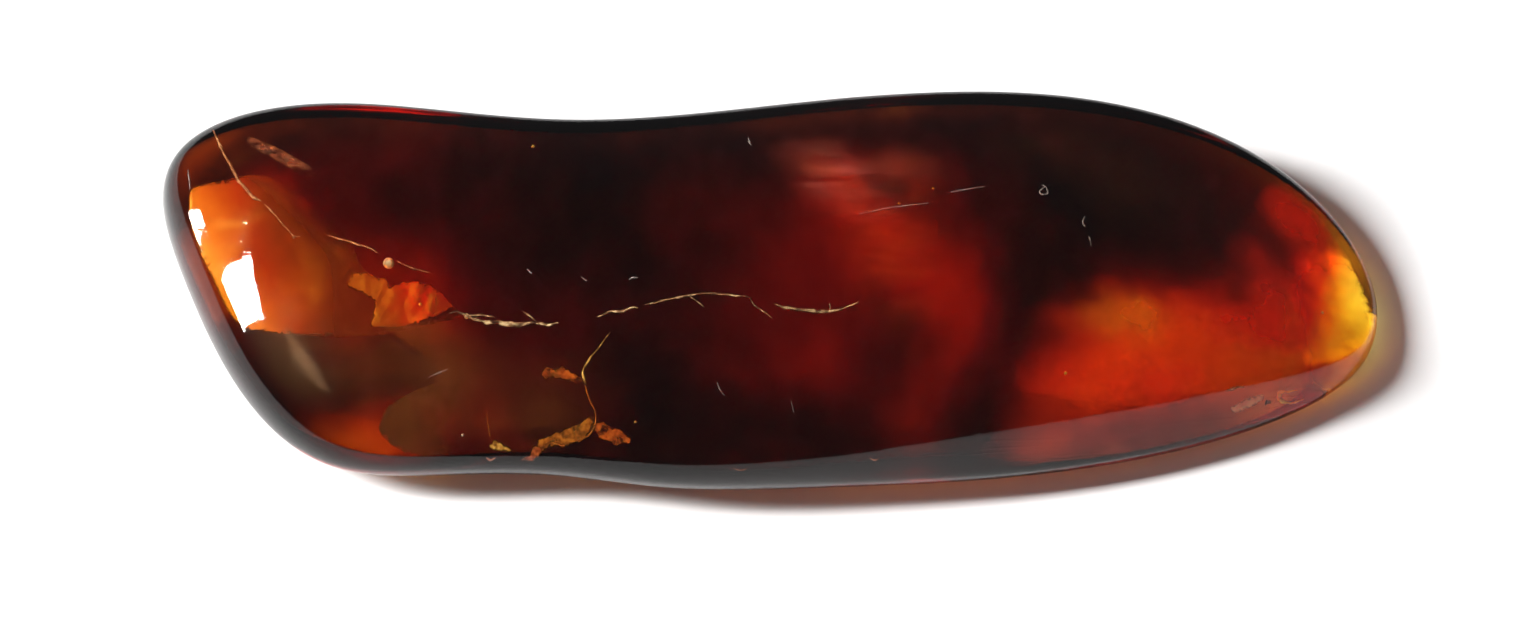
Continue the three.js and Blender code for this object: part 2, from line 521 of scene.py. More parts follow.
class Recipe:
    """A new material around one shader. Constants are set on the shader's own sockets."""

    def __init__(self, name, constants=None, kind="ShaderNodeBsdfPrincipled"):
        self.material = bpy.data.materials.new(name)
        self.material.use_nodes = True
        self.nodes = self.material.node_tree.nodes
        self.nodes.clear()
        self.output = self.nodes.new("ShaderNodeOutputMaterial")
        self.shader = self.nodes.new(kind)
        self.link(self.shader.outputs[0], self.output.inputs["Surface"])
        for socket, value in (constants or {}).items():
            self.shader.inputs[socket].default_value = value

    def link(self, source, target):
        self.material.node_tree.links.new(source, target)

    def feed(self, socket, source):
        self.link(source, self.shader.inputs[socket])

    def absorb(self, per_metre):
        """Takes this much red, green and blue light per metre of path."""
        strongest = max(per_metre)
        volume = self.nodes.new("ShaderNodeVolumeAbsorption")
        volume.inputs["Color"].default_value = (*[1 - k / strongest for k in per_metre], 1)
        volume.inputs["Density"].default_value = strongest
        self.link(volume.outputs[0], self.output.inputs["Volume"])

    def attribute(self, name):
        """A value of the piece's points."""
        node = self.nodes.new("ShaderNodeAttribute")
        node.attribute_name = name
        return node.outputs["Fac"]

    def noise(self, size, detail=4, stretch=(1, 1, 1), turn=0):
        """Noise from 0 to 1 with features about this wide, turned by degrees."""
        place = self.nodes.new("ShaderNodeTexCoord")
        mapping = self.nodes.new("ShaderNodeMapping")
        mapping.inputs["Scale"].default_value = [share / (size * MM) for share in stretch]
        mapping.inputs["Rotation"].default_value = (0, 0, math.radians(turn))
        texture = self.nodes.new("ShaderNodeTexNoise")
        texture.inputs["Scale"].default_value = 1
        texture.inputs["Detail"].default_value = detail
        self.link(place.outputs["Object"], mapping.inputs["Vector"])
        self.link(mapping.outputs[0], texture.inputs["Vector"])
        return texture.outputs["Fac"]

    def ramp(self, value, stops):
        """Colours or greys at places from 0 to 1 along a value."""
        node = self.nodes.new("ShaderNodeValToRGB")
        elements = node.color_ramp.elements
        while len(elements) < len(stops):
            elements.new(0.5)
        for element, (place, colour) in zip(elements, stops):
            element.position = place
            element.color = (*colour, 1) if isinstance(colour, tuple) else (*[colour] * 3, 1)
        self.link(value, node.inputs[0])
        return node.outputs[0]

    def combine(self, operation, a, b, clamp=True):
        """Arithmetic on two numbers or node outputs."""
        node = self.nodes.new("ShaderNodeMath")
        node.operation = operation
        node.use_clamp = clamp
        for socket, value in zip(node.inputs, (a, b)):
            if isinstance(value, (int, float)):
                socket.default_value = value
            else:
                self.link(value, socket)
        return node.outputs[0]

    def relief(self, height, distance):
        """Bumps this high, from a value between 0 and 1."""
        node = self.nodes.new("ShaderNodeBump")
        node.inputs["Strength"].default_value = 1
        node.inputs["Distance"].default_value = distance * MM
        self.link(height, node.inputs["Height"])
        self.feed("Normal", node.outputs[0])


CLEAR = {"Base Color": (1, 1, 1, 1), "Transmission Weight": 1}
AMBER_IOR = 1.54
AMBER_TAKES = (11, 225, 1150)  # absorption of red, green and blue per metre
AMBER_SHEEN = (0.6, 0.6, 0.6, 1)  # dims what it mirrors a little
SCRATCH_DEPTH = 0.0006


def amber_material():
    """Clear resin under a hand polish: faint scratches, and patches a little less bright."""
    recipe = Recipe("amber", {**CLEAR, "IOR": AMBER_IOR, "Specular Tint": AMBER_SHEEN})
    patches = recipe.noise(3)
    recipe.feed("Roughness", recipe.ramp(patches, [(0.3, 0.012), (0.75, 0.045)]))
    scratches = recipe.noise(0.5, 2, (0.12, 1.6, 1.6), 25)
    crossing = recipe.noise(0.5, 2, (0.1, 1.4, 1.4), -50)
    both = recipe.combine("MULTIPLY", scratches, crossing)
    recipe.relief(recipe.ramp(both, [(0.3, 0), (0.42, 1)]), SCRATCH_DEPTH)
    recipe.absorb(AMBER_TAKES)
    return recipe.material


SMOKE_TAKES = (900, 1600, 1900)  # absorption of red, green and blue per metre


def smoke_material():
    """Dark inclusions: they bend nothing, only take light along the way through."""
    recipe = Recipe("smoke", {**CLEAR, "IOR": 1, "Roughness": 0})
    recipe.absorb(SMOKE_TAKES)
    return recipe.material


def flake_material(
    name, stops, size, mottling=1, gloss=0.45, relief=0.03, gaps=(0.25, 0.6), stretch=(1, 1, 1),
    turn=0, metallic=0,
):
    """A crack face or a milky veil: colours from its tone, with mottles of this size.

    Its solidity fades it out, and noise between the two gap levels breaks it up.
    """
    recipe = Recipe(name, {"Metallic": metallic, "Roughness": gloss})
    tone = recipe.attribute("tone")
    grain = recipe.noise(size, 6, stretch, turn)
    mottle = recipe.combine("SUBTRACT", grain, 0.5, clamp=False)
    mottle = recipe.combine("MULTIPLY", mottle, mottling, clamp=False)
    recipe.feed("Base Color", recipe.ramp(recipe.combine("ADD", tone, mottle), stops))
    holes = recipe.noise(size * 2.2, 6, stretch, turn)
    breaks = recipe.ramp(holes, [(gaps[0], 0), (gaps[1], 1)])
    recipe.feed("Alpha", recipe.combine("MULTIPLY", recipe.attribute("solidity"), breaks))
    recipe.relief(recipe.noise(size * 0.4, 5, stretch, turn), relief)
    return recipe.material


def milk_material(name, dark, light, size=1.4, gaps=(0.15, 0.7)):
    """A milky veil, between two colours."""
    return flake_material(name, [(0.3, dark), (0.7, light)], size, gloss=0.7, gaps=gaps)


def thread_material(name, stops, size=0.3, gloss=0.4, metallic=0):
    """Solid slivers with their colour mottled from dark to pale along them: painted glints, as where
    the edge of a crack catches the light unevenly.
    """
    recipe = Recipe(name, {"Metallic": metallic, "Roughness": gloss})
    recipe.feed("Base Color", recipe.ramp(recipe.noise(size, 5), stops))
    recipe.relief(recipe.noise(size * 0.3), 0.02)
    return recipe.material


def bubble_material():
    """A gas bubble: light meets its wall from the denser side. The wall's pale, partly diffuse share
    is painted reflection, standing in for the bright ring that light reflected in the bubble gives.
    """
    recipe = Recipe("bubble", {
        "Base Color": (1, 0.96, 0.9, 1),
        "Transmission Weight": 0.6,
        "IOR": 1 / AMBER_IOR,
    })
    recipe.feed("Roughness", recipe.ramp(recipe.noise(0.15), [(0.3, 0.02), (0.8, 0.15)]))
    return recipe.material


def paper_material():
    """Plain white paper with faint fibres."""
    recipe = Recipe("paper", kind="ShaderNodeBsdfDiffuse")
    tints = [(0.3, (0.715, 0.71, 0.7)), (0.7, (0.735, 0.73, 0.725))]
    recipe.feed("Color", recipe.ramp(recipe.noise(1.2, 6), tints))
    return recipe.material


# ---- stage, light and camera

VIEW_ELEVATION = 65  # degrees
VIEW_DISTANCE = 500 * MM
VIEW_TARGET = Vector((-0.36, -0.93, 2.87)) * MM
VIEW_WIDTH = 67.7 * MM

PAPER_HALF = 1500
PAPER_LEVEL = -0.02

# Azimuth and elevation in degrees, width and height in metres, watts.
WINDOW_PANES = {
    "window_upper": (178.5, 39, 0.14, 0.42, 24),
    "window_lower": (172.5, 21, 0.06, 0.36, 8),
}
WINDOW_DISTANCE = 1  # metres
WINDOW_LEAN = 14  # degrees

ROOM_COLOUR = (1, 0.94, 0.98, 1)
ROOM_STRENGTH = 0.16


def add_camera():
    camera = bpy.data.cameras.new("camera")
    camera.lens = camera.sensor_width * VIEW_DISTANCE / VIEW_WIDTH
    holder = bpy.data.objects.new("camera", camera)
    rise = math.radians(VIEW_ELEVATION)
    back = Vector((0, -math.cos(rise), math.sin(rise)))
    holder.location = VIEW_TARGET + back * VIEW_DISTANCE
    holder.rotation_euler = back.to_track_quat("Z", "Y").to_euler()
    scene.collection.objects.link(holder)
    scene.camera = holder


def add_floor():
    sides = [(-1, -1), (1, -1), (1, 1), (-1, 1)]
    corners = [(x * PAPER_HALF, y * PAPER_HALF, PAPER_LEVEL) for x, y in sides]
    add_mesh("floor", corners, [(0, 1, 2, 3)], paper_material())


def add_window(name, azimuth, elevation, width, height, power):
    light = bpy.data.lights.new(name, "AREA")
    light.shape = "RECTANGLE"
    light.size = width
    light.size_y = height
    light.energy = power
    holder = bpy.data.objects.new(name, light)
    around, rise = math.radians(azimuth), math.radians(elevation)
    flat = math.cos(rise)
    out = Vector((math.cos(around) * flat, math.sin(around) * flat, math.sin(rise)))
    holder.location = out * WINDOW_DISTANCE
    lean = Quaternion((0, 0, 1), math.radians(WINDOW_LEAN))
    holder.rotation_euler = (out.to_track_quat("Z", "Y") @ lean).to_euler()
    scene.collection.objects.link(holder)


def add_room():
    """The dim light that comes from all round."""
    world = bpy.data.worlds.new("room")
    world.use_nodes = True
    background = world.node_tree.nodes["Background"]
    background.inputs["Color"].default_value = ROOM_COLOUR
    background.inputs["Strength"].default_value = ROOM_STRENGTH
    scene.world = world


add_camera()
add_floor()
for pane, values in WINDOW_PANES.items():
    add_window(pane, *values)
add_room()
scene.view_settings.view_transform = "Standard"

# ---- the stone

stone_points, stone_faces = stone_mesh()
stone_tree = BVHTree.FromPolygons(stone_points.tolist(), stone_faces)
amber = add_mesh("amber_stone", stone_points, stone_faces, amber_material())
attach(amber, "root")
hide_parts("amber")

# ---- smoke: soft dark clouds

SMOKE_CELL = 0.2
SMOKE_REACH_X, SMOKE_REACH_Y = 27, 9
SMOKE_DEEPEST = 2.4
SMOKE_THINNEST = 0.05
SMOKE_EDGE = 0.01  # half depth just inside its rim
SMOKE_LEVEL = 0.24  # of the stone's height
SMOKE_SWAY = 0.05  # of it, up and down
SMOKE_LIFT = 0.3  # least amber under it
SMOKE_CLEAR = 1  # amber that it always leaves
SMOKE_ROOM = 0.5  # of the rest, at most
SMOKE_SHIFT = 0.2  # further back than the tables say
SMOKE_CONTRAST = 1.4
SMOKE_LUMPS = 0.35

# Swirls that bend its borders: how far, how wide, seed.
SMOKE_SWIRLS = [(0.8, 3.6, 1), (0.4, 1.3, 5)]

# x, y, half length, half width, turn in degrees, share of the deepest smoke
SMOKE = [
    # left corner
    (-25, 5.9, 2.1, 1.4, 40, 0.95),
    (-22, 7.4, 3, 1.3, 8, 0.85),
    # upper left to the waist
    (-20.5, 4.3, 1.6, 1.5, 0, 0.55),
    (-17.5, 5, 2.6, 2.8, 0, 0.65),
    (-13.5, 4, 3, 3.6, 0, 0.76),
    (-9.5, 3.2, 4.6, 4.4, 0, 0.97),
    (-3.5, 5.6, 4.5, 2.2, 0, 0.84),
    (-4.5, 1.4, 3, 1.8, 0, 0.7),
    (2, 7, 4, 1.2, 0, 0.78),
    # lower left
    (-22.6, -1.8, 1, 2.4, -30, 0.7),
    (-20.6, -3.3, 1.9, 1.3, -50, 0.8),
    (-17.3, -3.4, 2.9, 1.3, 0, 0.78),
    (-13.5, -4.8, 2.4, 2.2, 0, 0.35),
    (-10, -3, 3.4, 2.2, 0, 0.6),
    (-12.8, -7, 2, 0.6, 0, 0.7),
    (-16.2, -6.2, 1.4, 0.9, 0, 0.45),
    (-9.6, -5.6, 1.9, 1.3, 0, 0.86),
    # lower middle
    (-5.5, -4.6, 2.4, 3.2, 0, 0.92),
    (-1, -5.6, 3.4, 2.2, 0, 0.95),
    (3.2, -5.4, 2.6, 1.5, 20, 0.66),
    (6.6, -6.2, 3, 0.9, 5, 0.72),
    # middle
    (-4.5, -1.6, 3, 1.8, 0, 0.48),
    (0.5, -1, 3.6, 2.4, 0, 0.55),
    (4.9, -2.4, 1.5, 2, -25, 0.84),
    (0, 2.3, 2.6, 1.7, 0, 0.5),
    (6, 0.5, 3, 2, -15, 0.24),
    (7.4, -2.6, 1.1, 2.4, -10, 0.15),
    # round the brown haze, dark right shoulder
    (5, 4.1, 0.9, 0.7, 0, 0.55),
    (8, 4.6, 2.6, 2.4, 0, 0.64),
    (8, 7, 3, 1.2, 0, 0.74),
    (12, 4.8, 3, 3.6, 0, 0.97),
    (17, 4.2, 3.6, 3.2, -20, 0.97),
    (20.8, 3.8, 2.2, 2.2, -40, 0.93),
    (18.6, 0.4, 1.8, 1.1, -15, 0.6),
    (20.9, 1.7, 1.3, 0.9, -20, 0.75),
    (21, -0.9, 1.1, 1.6, 0, 0.28),
    (15.5, 7.4, 5, 1.2, -10, 0.9),
    # the black diagonal
    (12.2, 0.9, 1.9, 2.1, 55, 0.98),
    (10.2, -1.9, 1.4, 2.6, -28, 0.99),
    (8.7, -4.3, 1.2, 2, -26, 0.98),
    # along the bevel
    (15, -5.9, 5, 0.9, 12, 0.5),
    (14.6, -4.6, 4.2, 0.9, 8, 0.5),
    # by the tip
    (23.2, 2.6, 1, 1.8, 30, 0.22),
]

# Where it clears up again.
CLEARINGS = [
    (2.5, 4.3, 2, 0.9, -35, 0.25),
    (15.5, -2.4, 3.6, 1.6, 12, 0.95),
    (19.2, -2.3, 1.8, 0.9, 12, 0.5),
    (11, -5.8, 1.8, 1, -10, 0.55),
    (-18.4, -7.1, 1.9, 0.7, -20, 0.4),
]


def smoke_depth(x, y):
    """How deep the smoke is at a place, before the stone's height limits it."""
    y = y - SMOKE_SHIFT
    wind_x, wind_y = x, y
    for far, size, seed in SMOKE_SWIRLS:
        wind_x += far * drift(x, y, size, seed=seed)
        wind_y += far * drift(x, y, size, seed=seed + 1)
    amount = spots_at(wind_x, wind_y, SMOKE) * (1 - spots_at(wind_x, wind_y, CLEARINGS))
    lumps = SMOKE_LUMPS * drift(x, y, 2, octaves=5, seed=3)
    return SMOKE_DEEPEST * amount**SMOKE_CONTRAST * (1 + lumps)


def smoke_columns():
    """Where smoke hangs, by grid place: x, y, middle height and depth."""
    columns = {}
    for row, y in enumerate(np.arange(-SMOKE_REACH_Y, SMOKE_REACH_Y, SMOKE_CELL)):
        for column, x in enumerate(np.arange(-SMOKE_REACH_X, SMOKE_REACH_X, SMOKE_CELL)):
            low, high = span_at(x, y)
            if None in (low, high):
                continue
            room = max(high - low - SMOKE_CLEAR, 0)
            depth = min(smoke_depth(x, y), SMOKE_ROOM * room)
            level = low + (high - low) * (SMOKE_LEVEL + SMOKE_SWAY * drift(x, y, 6, seed=4))
            if depth > SMOKE_THINNEST:
                columns[row, column] = (x, y, max(level, low + SMOKE_LIFT + depth / 2), depth)
    return columns


def largest_island(cells):
    """The biggest group of cells that touch along their sides."""
    best, waiting = set(), set(cells)
    while waiting:
        edge = [waiting.pop()]
        island = set(edge)
        while edge:
            row, column = edge.pop()
            sides = {(row + 1, column), (row - 1, column), (row, column + 1), (row, column - 1)}
            found = sides & waiting
            waiting -= found
            island |= found
            edge.extend(found)
        best = max(best, island, key=len)
    return best


def corners_of(row, column):
    """The grid places round a cell."""
    return [(row, column), (row, column + 1), (row + 1, column + 1), (row + 1, column)]


def smoke_mesh():
    """A closed body over the grid's filled cells that thins out to a feather edge."""
    columns = smoke_columns()
    cells = largest_island(cell for cell in columns if columns.keys() >= set(corners_of(*cell)))
    faces = [corners_of(*cell) for cell in sorted(cells)]
    places = {}
    for row, column in sorted({corner for face in faces for corner in face}):
        x, y, level, depth = columns[row, column]
        inside = cells.issuperset(corners_of(row - 1, column - 1))
        half = (depth - SMOKE_THINNEST) / 2 + SMOKE_EDGE if inside else 0
        places[row, column] = (x, y, level, half)
    return two_skins(places, faces)


add_inclusion("smoke_clouds", "smoke", *smoke_mesh(), smoke_material())

# ---- the crack face at the left end

CRACK_FACE = [
    (-25.6, 4.2), (-24.9, 4.5), (-24, 4.5), (-23.1, 4.6), (-22, 4.4), (-21, 3.8), (-20.1, 3.1),
    (-19.3, 2.3), (-18.5, 1.3), (-18, 0.3), (-17.4, -0.4), (-16.4, -0.8), (-15.2, -0.8),
    (-13.9, -1.5), (-13.7, -2), (-15, -2.35), (-16, -2.55), (-17.2, -2.75), (-18.3, -2.85),
    (-19.5, -2.9), (-20.8, -2.8), (-22, -2.55), (-23.1, -2.1), (-23.8, -1.2), (-24.4, 0),
    (-25, 1.5), (-25.5, 3),
]


def crack_face_depth(x, y):
    """It dips to the right, in low waves."""
    return 1.2 + 0.12 * (x + 25.5) + 0.12 * math.sin(1.1 * x - 0.8 * y)


def crack_face_solidity(x, y):
    """It fades out towards its upper right side and thins to the right."""
    across = y + 0.9 * min(x + 20, 1) + 0.35 * max(x + 19, 0)
    return smooth_step(across, 3, 0.8) * (1 - 0.6 * smooth_step(x, -21, -17.5))


def crack_face_painted_light(x, y):
    """Painted light: 1 where the window's light is painted on, towards the left end, 0 where it is
    painted dark.
    """
    painted_window_light = smooth_step(x + 0.35 * y, -19, -25)
    # a faint painted glow low down, towards the right
    painted_low_glow = 0.12 * smooth_step(y, 1, -2) * smooth_step(x, -15.5, -18.5)
    return min(0.12 + 0.8 * painted_window_light + painted_low_glow, 1)


# The fracture's colour follows the painted light: dark where shade is painted, orange where the
# window's light is painted.
crack_orange_painted_light = flake_material(
    "crack_orange_painted_light",
    [
        (0, (0.1, 0.02, 0.03)), (0.25, (0.24, 0.05, 0.05)), (0.4, (0.32, 0.05, 0.05)),
        (0.55, (0.38, 0.04, 0.04)), (0.8, (0.62, 0.16, 0.06)), (1, (0.85, 0.4, 0.08)),
    ],
    size=1.6, mottling=0.22, gloss=0.3, relief=0.01, gaps=(0, 0.3),
)
add_flake(
    "crack_face", CRACK_FACE, crack_face_depth, 0.2, 21, crack_orange_painted_light, crack_face_solidity,
    crack_face_painted_light, feather=0.12,
)

# The jagged fragment at its right.
FRAGMENT = [
    (-18.6, -0.65), (-18.4, -0.25), (-17.7, -0.25), (-17.3, -0.5), (-16.9, -0.55), (-16.7, -0.95),
    (-16.2, -0.75), (-15.6, -0.7), (-14.9, -0.9), (-14.4, -1.3), (-13.9, -1.9), (-14.8, -2.3),
    (-15.8, -2.55), (-16.8, -2.7), (-17.6, -2.6), (-17.5, -2), (-17.4, -1.5), (-18, -1.1),
    (-18.5, -0.95),
]


def fragment_solidity(x, y):
    return 0.85 - 0.25 * smooth_step(x, -15.6, -14.2)


def fragment_tone(x, y):
    """Tan at the left, brightest red by its right end."""
    return smooth_step(x + 0.3 * y, -18.6, -15.4)


crack_red = flake_material(
    "crack_red",
    [
        (0, (0.34, 0.09, 0.05)), (0.35, (0.45, 0.1, 0.05)), (0.65, (0.54, 0.06, 0.04)),
        (0.9, (0.68, 0.02, 0.03)), (1, (0.34, 0.015, 0.015)),
    ],
    size=0.5, mottling=0.6, gloss=0.35, gaps=(0, 0.3),
)
add_flake(
    "fragment", FRAGMENT, 1.7, 0.12, 31, crack_red, fragment_solidity, fragment_tone,
    feather=0.06, ragged=0.06, roughness=0.1, dips=0.04,
)

# ---- small torn fragments, lower left

GOLD_PATCH = [
    (-10.3, -7.5), (-10.2, -7.2), (-9.6, -7), (-9, -6.85), (-8.4, -6.7), (-7.9, -6.45),
    (-7.7, -6.6), (-8, -7.1), (-8.5, -7.35), (-9.1, -7.45), (-9.7, -7.4), (-10, -7.6),
]
NUGGET = [
    (-12.4, -7.5), (-12.2, -7.3), (-11.9, -7.35), (-11.7, -7.5), (-11.4, -7.55), (-11.45, -7.7),
    (-11.8, -7.65), (-12.2, -7.65),
]
CHIP_ABOVE = [
    (-10.1, -4.75), (-9.8, -4.55), (-9.4, -4.65), (-9.1, -4.5), (-8.7, -4.8), (-8.4, -4.9),
    (-8.2, -5.1), (-8.35, -5.3), (-8.7, -5.15), (-9.1, -5.05), (-9.6, -4.95), (-9.9, -5),
]
CHIP_RIGHT = [
    (-7.8, -6.7), (-7.3, -6.65), (-6.9, -6.9), (-6.5, -7), (-6.1, -7.3), (-6.15, -7.55),
    (-6.5, -7.45), (-6.7, -7.55), (-7.1, -7.35), (-7.5, -7.25),
]
CHIP_BELOW = [
    (-11.1, -7.95), (-10.7, -8), (-10.3, -7.95), (-10, -7.75), (-10.1, -7.5), (-10.45, -7.55),
    (-10.6, -7.8),
]


def chip_material(name, dark, middle, light, size=0.25, gaps=(0.3, 0.48)):
    """A torn fragment, strongly mottled from dark to light."""
    stops = [(0.3, dark), (0.5, middle), (0.72, light)]
    return flake_material(name, stops, size, mottling=1.4, gloss=0.35, gaps=gaps)


gold = chip_material("crack_gold", (0.08, 0.02, 0.01), (0.28, 0.1, 0.04), (0.52, 0.25, 0.1))
rust = chip_material("crack_rust", (0.1, 0.015, 0.01), (0.32, 0.06, 0.03), (0.55, 0.16, 0.08))
pale_gold = chip_material(
    "crack_pale", (0.2, 0.08, 0.03), (0.6, 0.38, 0.2), (0.85, 0.7, 0.52), 0.15, (0.25, 0.45)
)

# name, outline, depth, spacing, seed, material, ragged, dips
TORN_CHIPS = [
    ("gold_patch", GOLD_PATCH, 1.2, 0.07, 41, gold, 0.07, 0.08),
    ("gold_nugget", NUGGET, 0.9, 0.05, 51, pale_gold, 0.05, 0.05),
    ("chip_above", CHIP_ABOVE, 1.2, 0.07, 61, rust, 0.07, 0.08),
    ("chip_right", CHIP_RIGHT, 1.2, 0.07, 71, rust, 0.07, 0.08),
    ("chip_below", CHIP_BELOW, 0.9, 0.07, 81, rust, 0.05, 0.08),
]
for *chip, ragged, dips in TORN_CHIPS:
    add_flake(*chip, ragged=ragged, dips=dips)

# ---- the rippled patch, upper left

# x, y, width along its middle
RIPPLES = [
    (-23.3, 6.5, 0.3), (-22.8, 6, 0.6), (-22, 5.45, 0.7), (-21.2, 4.85, 0.7), (-20.4, 4.3, 0.5),
    (-19.9, 4, 0.2),
]
ripple = flake_material(
    "crack_ripple",
    [(0.35, (0.1, 0.02, 0.02)), (0.52, (0.32, 0.06, 0.04)), (0.7, (0.55, 0.18, 0.1))],
    size=0.22, mottling=1.2, gloss=0.4, gaps=(0.38, 0.55), stretch=(0.7, 1.3, 1), turn=35,
)
add_flake("ripples", ribbon_outline(RIPPLES), 0.35, 0.1, 91, ripple, 0.7, feather=0.25, dips=0.06)

# ---- fine cracks

# Each path: x, y and its width in hundredths of a millimetre.
LEFT_CRACK = [
    [
        (-24.75, 7, 5), (-24.5, 6.3, 10), (-24.2, 5.5, 12), (-23.8, 4.7, 13), (-23.5, 4, 14),
        (-23.1, 3.5, 15), (-22.8, 3.1, 16), (-22.5, 2.95, 6),
    ],
    [(-22.35, 2.75, 4), (-22.1, 2.5, 6), (-21.7, 2, 5), (-21.2, 1.35, 5), (-21, 1.05, 7)],
    [(-21.15, 1.3, 4), (-21, 1.15, 6), (-20.75, 1.1, 4)],
]
MIDDLE_CRACK = [
    [(-19.5, 1.05, 4), (-18.9, 0.85, 8), (-18.3, 0.65, 9), (-17.6, 0.35, 7), (-17.3, 0.15, 4)],
    [(-16.4, -0.3, 4), (-15.8, -0.6, 6), (-15, -0.85, 4)],
]
LONG_CRACK = [
    [
        (-14.1, -2.65, 5), (-13.7, -2.6, 8), (-13, -2.9, 12), (-12.5, -3, 18), (-12, -3.05, 20),
        (-11.3, -3.15, 20), (-10.7, -3.1, 14), (-10.2, -3.1, 14), (-9.8, -3.2, 13),
        (-9.3, -3.15, 6),
    ],
    [(-13.4, -2.75, 5), (-12.7, -2.75, 8), (-12.1, -2.85, 5)],
    [(-10.9, -2.6, 4), (-10.6, -2.8, 8), (-10.3, -3.05, 6)],
    [(-7.6, -2.95, 5), (-7, -2.75, 10), (-6.5, -2.75, 10), (-6.1, -2.6, 8), (-5.8, -2.62, 5)],
    [
        (-5.5, -2.5, 5), (-5.2, -2.45, 7), (-4.5, -2.3, 7), (-3.9, -2.2, 8), (-3.3, -2.1, 6),
        (-2.6, -2.05, 8), (-2, -2.1, 9), (-1.3, -2.2, 7), (-0.9, -2.25, 6), (-0.7, -2.6, 5),
        (-0.3, -2.85, 6), (0.1, -3.15, 4),
    ],
    [(-3.5, -2.2, 4), (-3.2, -2.4, 5), (-2.9, -2.65, 4)],
    [
        (0.2, -2.55, 5), (0.5, -2.65, 8), (1, -2.75, 13), (1.5, -2.8, 14), (2.1, -2.85, 15),
        (2.7, -2.85, 12), (3.2, -2.75, 7), (3.6, -2.6, 6), (3.9, -2.45, 4),
    ],
    [(2.65, -2.85, 4), (2.66, -2.7, 5), (2.64, -2.55, 4)],
]
SHELL_CRACK = [[
    (-7, -3.4, 3), (-7.5, -4, 5), (-7.8, -4.3, 6), (-8.1, -4.7, 7), (-8.2, -5, 10), (-8.1, -5.35, 9),
]]
SHELL_EDGE = [
    [
        (-8.1, -5.35, 6), (-7.9, -5.9, 7), (-7.65, -6.3, 5), (-7.65, -6.7, 7), (-7.9, -7.1, 7),
        (-8.4, -7.35, 7),
    ],
    [(-9, -7.45, 8), (-9.6, -7.35, 8), (-10, -7.4, 4)],
    [(-12.5, -6.2, 2), (-12.4, -6.8, 5), (-12.35, -7.1, 4)],
]
# Faint surface scratches, and at the far left one painted highlight: a pale thread that stands in
# for a window's reflection.
FAINT_SCRATCHES_AND_GLINT = [
    [
        (12, 3.5, 2), (12.25, 3.35, 5), (12.3, 3.05, 6), (12.05, 2.95, 6), (11.95, 3.15, 5),
        (12.2, 3.4, 3),
    ],
    [(13.95, 2, 3), (13.85, 1.7, 4), (13.95, 1.45, 3)],
    [(14.1, 1, 3), (14.15, 0.8, 4), (14.2, 0.5, 3)],
    [(-15, -5.3, 2), (-14.6, -5.15, 3), (-14.2, -5, 2)],
    [(-2.3, -5.8, 2), (-2.2, -6.05, 4), (-2, -6.3, 2)],
    [(0.95, -6.5, 2), (1, -6.7, 3), (1.05, -6.9, 2)],
    [(4, 1.6, 2), (5.4, 1.95, 3), (7, 2.2, 2)],
    [(8, 2.8, 2), (8.7, 3, 3), (9.5, 3.2, 2)],
    [(-6.2, -1.5, 2), (-6, -1.4, 6), (-5.8, -1.42, 2)],
    [(-8.3, -1.3, 2), (-8.2, -1.4, 4), (-8.05, -1.5, 2)],
    [(-10.7, -0.9, 2), (-10.6, -1, 5), (-10.5, -1.15, 2)],
    [(-0.95, 5.9, 2), (-0.9, 5.6, 5), (-0.8, 5.35, 2)],
    # painted highlight: a window's reflection drawn as a pale thread
    [(-25.85, 5, 2), (-25.8, 4.5, 6), (-25.75, 4, 2)],
]
EDGE_NICKS = [
    [(-12.5, -8.15, 4), (-12.3, -8.2, 12), (-12.1, -8.15, 4)],
    [(-1.6, -8.8, 3), (-1.3, -8.85, 8), (-1, -8.8, 3)],
    [(4.4, -8.35, 3), (4.6, -8.4, 10), (4.8, -8.35, 3)],
    [(20.2, -5, 5), (20.6, -4.85, 16), (21, -4.75, 5)],
]

rose_thread = thread_material(
    "crack_rose", [(0.3, (0.12, 0.03, 0.02)), (0.5, (0.42, 0.16, 0.1)), (0.7, (0.72, 0.42, 0.32))]
)
straw_thread = thread_material(
    "crack_straw", [(0.4, (0.07, 0.03, 0.03)), (0.5, (0.34, 0.24, 0.2)), (0.64, (0.88, 0.79, 0.74))]
)
brown_thread = thread_material(
    "crack_brown",
    [(0.3, (0.08, 0.02, 0.01)), (0.5, (0.3, 0.11, 0.05)), (0.72, (0.6, 0.3, 0.15))],
    size=0.2,
)
grey_thread_and_glint = thread_material(
    "scratch_and_glint_grey", [(0.3, (0.16, 0.14, 0.14)), (0.7, (0.6, 0.57, 0.57))], size=0.2
)

# name, paths, depth, seed, material
FINE_CRACKS = [
    ("left_crack", LEFT_CRACK, 0.3, 101, rose_thread),
    ("middle_crack", MIDDLE_CRACK, 0.3, 121, rose_thread),
    ("long_crack", LONG_CRACK, 0.3, 141, straw_thread),
    ("shell_crack", SHELL_CRACK, 0.8, 201, straw_thread),
    ("shell_edge", SHELL_EDGE, 1.1, 221, brown_thread),
    ("faint_scratches_and_glint", FAINT_SCRATCHES_AND_GLINT, 0.04, 241, grey_thread_and_glint),
    ("edge_nicks", EDGE_NICKS, 0.14, 261, rose_thread),
]
for crack in FINE_CRACKS:
    add_slivers(*crack)

# ---- bubbles: x, y, depth, radius

